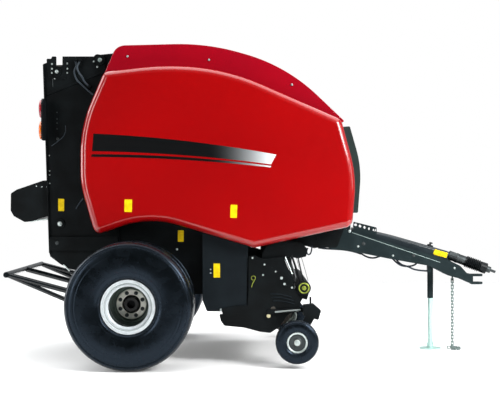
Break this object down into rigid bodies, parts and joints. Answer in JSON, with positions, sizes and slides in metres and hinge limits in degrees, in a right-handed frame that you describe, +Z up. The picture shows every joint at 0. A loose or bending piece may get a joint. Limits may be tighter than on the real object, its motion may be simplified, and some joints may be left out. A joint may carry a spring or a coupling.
{
  "type": "round baler",
  "caption": "Trailed round baler with red side shields, a lifting tailgate, belts round an open chamber, tined pick-up, drawbar and jack.",
  "frame": {"origin": "centre of the machine's length and width, on the floor that its wheels and jack stand on", "axes": "+X forwards towards the hitch, +Y to the machine's left, +Z up"},
  "size_m": [4.4868, 2.84, 2.7893],
  "materials": {
    "red_paint": "gloss",
    "black_paint": "satin",
    "rim_paint": "satin",
    "tyre_rubber": "matt",
    "belt_rubber": "matt",
    "bare_steel": "worn",
    "zinc": "galvanised",
    "chrome_rod": "polished",
    "black_plastic": "matt",
    "dark_cover": "satin",
    "lamp_plastic": "gloss"
  },
  "bodies": {
    "root": {"axle": "black_paint", "front_beam": "black_paint", "lower_beam": "black_paint", "top_tie": "black_paint", "frame_sheet_right": "black_paint", "frame_sheet_left": "black_paint", "front_rolls": "bare_steel", "floor_rolls": "bare_steel", "front_belts": "belt_rubber", "upper_panel_right": "red_paint", "upper_panel_left": "red_paint", "front_cover": "dark_cover", "drive_cover_right": "black_paint", "drive_cover_left": "black_paint", "tongue": "black_paint", "gearbox": "black_paint", "drawbar_hoses": "black_paint", "hitch_clevis": "black_paint", "driveline_guard": "black_plastic", "shaft_guard": "black_plastic", "jack_tube": "black_paint", "safety_chain": "zinc"},
    "wheel_right": {"tyre_right": "tyre_rubber", "rim_right": "rim_paint"},
    "wheel_left": {"tyre_left": "tyre_rubber", "rim_left": "rim_paint"},
    "shield_right": {"side_shield_right": "red_paint"},
    "shield_left": {"side_shield_left": "red_paint"},
    "yoke": {"shaft_yoke": "bare_steel"},
    "jack": {"jack_leg": "zinc"},
    "pickup": {"pickup_frame": "black_paint", "pickup_bands": "bare_steel", "gauge_arm_right": "black_paint", "gauge_arm_left": "black_paint"},
    "reel": {"pickup_reel": "bare_steel"},
    "gauge_right": {"gauge_wheel_right": "tyre_rubber", "gauge_rim_right": "rim_paint"},
    "gauge_left": {"gauge_wheel_left": "tyre_rubber", "gauge_rim_left": "rim_paint"},
    "windguard": {"windguard": "black_paint", "windguard_tines": "black_paint"},
    "crop_roller": {"guard_roller": "black_paint"},
    "tailgate": {"gate_sheet_right": "black_paint", "gate_sheet_left": "black_paint", "gate_beams": "black_paint", "gate_rolls": "bare_steel", "gate_belts": "belt_rubber", "tail_lamps_right": "black_plastic", "tail_lamps_left": "black_plastic", "lamp_lenses_right": "lamp_plastic", "lamp_lenses_left": "lamp_plastic", "gate_hoses": "zinc", "net_box": "black_paint"},
    "lid": {"net_lid": "black_paint"},
    "barrel_right": {"gate_barrel_right": "black_paint"},
    "barrel_left": {"gate_barrel_left": "black_paint"},
    "rod_right": {"gate_rod_right": "chrome_rod"},
    "rod_left": {"gate_rod_left": "chrome_rod"},
    "ramp": {"bale_ramp": "black_paint"}
  },
  "joints": [
    {"name": "wheel_right", "type": "hinge", "parent": "root", "child": "wheel_right", "pos_m": [-1.09837, -1.1475, 0.54], "axis": [0, 1, 0], "continuous": true},
    {"name": "shield_right", "type": "hinge", "parent": "root", "child": "shield_right", "pos_m": [-1.09837, -0.95, 2.54], "axis": [-1, 0, 0], "range_deg": [0, 60]},
    {"name": "gauge_right", "type": "hinge", "parent": "pickup", "child": "gauge_right", "pos_m": [0.31463, -1.15, 0.223], "axis": [0, 1, 0], "continuous": true},
    {"name": "barrel_right", "type": "hinge", "parent": "root", "child": "barrel_right", "pos_m": [-0.67837, -0.86, 1.5], "axis": [0, 1, 0], "range_deg": [0, 1.85]},
    {"name": "rod_right", "type": "slide", "parent": "barrel_right", "child": "rod_right", "axis": [-0.848, 0, 0.53], "range_m": [0, 0.6636]},
    {"name": "wheel_left", "type": "hinge", "parent": "root", "child": "wheel_left", "pos_m": [-1.09837, 1.1475, 0.54], "axis": [0, 1, 0], "continuous": true},
    {"name": "shield_left", "type": "hinge", "parent": "root", "child": "shield_left", "pos_m": [-1.09837, 0.95, 2.54], "axis": [1, 0, 0], "range_deg": [0, 60]},
    {"name": "gauge_left", "type": "hinge", "parent": "pickup", "child": "gauge_left", "pos_m": [0.31463, 1.15, 0.223], "axis": [0, 1, 0], "continuous": true},
    {"name": "barrel_left", "type": "hinge", "parent": "root", "child": "barrel_left", "pos_m": [-0.67837, 0.86, 1.5], "axis": [0, 1, 0], "range_deg": [0, 1.85]},
    {"name": "rod_left", "type": "slide", "parent": "barrel_left", "child": "rod_left", "axis": [-0.848, 0, 0.53], "range_m": [0, 0.6636]},
    {"name": "yoke", "type": "hinge", "parent": "root", "child": "yoke", "pos_m": [1.78163, 0, 0.915], "axis": [0.9397, 0, -0.342], "continuous": true},
    {"name": "jack", "type": "slide", "parent": "root", "child": "jack", "axis": [0, 0, 1], "range_m": [0, 0.34]},
    {"name": "pickup", "type": "hinge", "parent": "root", "child": "pickup", "pos_m": [-0.19837, 0, 0.56], "axis": [0, -1, 0], "range_deg": [-4, 8]},
    {"name": "reel", "type": "hinge", "parent": "pickup", "child": "reel", "pos_m": [0.11663, 0, 0.485], "axis": [0, 1, 0], "continuous": true},
    {"name": "windguard", "type": "hinge", "parent": "pickup", "child": "windguard", "pos_m": [0.04163, 0, 0.871], "axis": [0, -1, 0], "range_deg": [0, 30]},
    {"name": "crop_roller", "type": "hinge", "parent": "windguard", "child": "crop_roller", "pos_m": [0.38563, 0, 0.662], "axis": [0, 1, 0], "continuous": true},
    {"name": "tailgate", "type": "hinge", "parent": "root", "child": "tailgate", "pos_m": [-1.40337, 0, 2.66], "axis": [0, 1, 0], "range_deg": [0, 60]},
    {"name": "net_lid", "type": "hinge", "parent": "tailgate", "child": "lid", "pos_m": [-1.89837, 0, 1.592], "axis": [0, 1, 0], "range_deg": [0, 75]},
    {"name": "ramp", "type": "hinge", "parent": "root", "child": "ramp", "pos_m": [-1.24837, 0, 0.44], "axis": [0, -1, 0], "range_deg": [0, 18], "stiffness_Nm_per_rad": 4000, "springref_deg": -28.65}
  ],
  "couplings": [
    {"joint": "barrel_right", "follows": "tailgate", "ratio": 0.030832},
    {"joint": "rod_right", "follows": "tailgate", "m_per_rad": 0.63317},
    {"joint": "barrel_left", "follows": "tailgate", "ratio": 0.030832},
    {"joint": "rod_left", "follows": "tailgate", "m_per_rad": 0.63317}
  ]
}
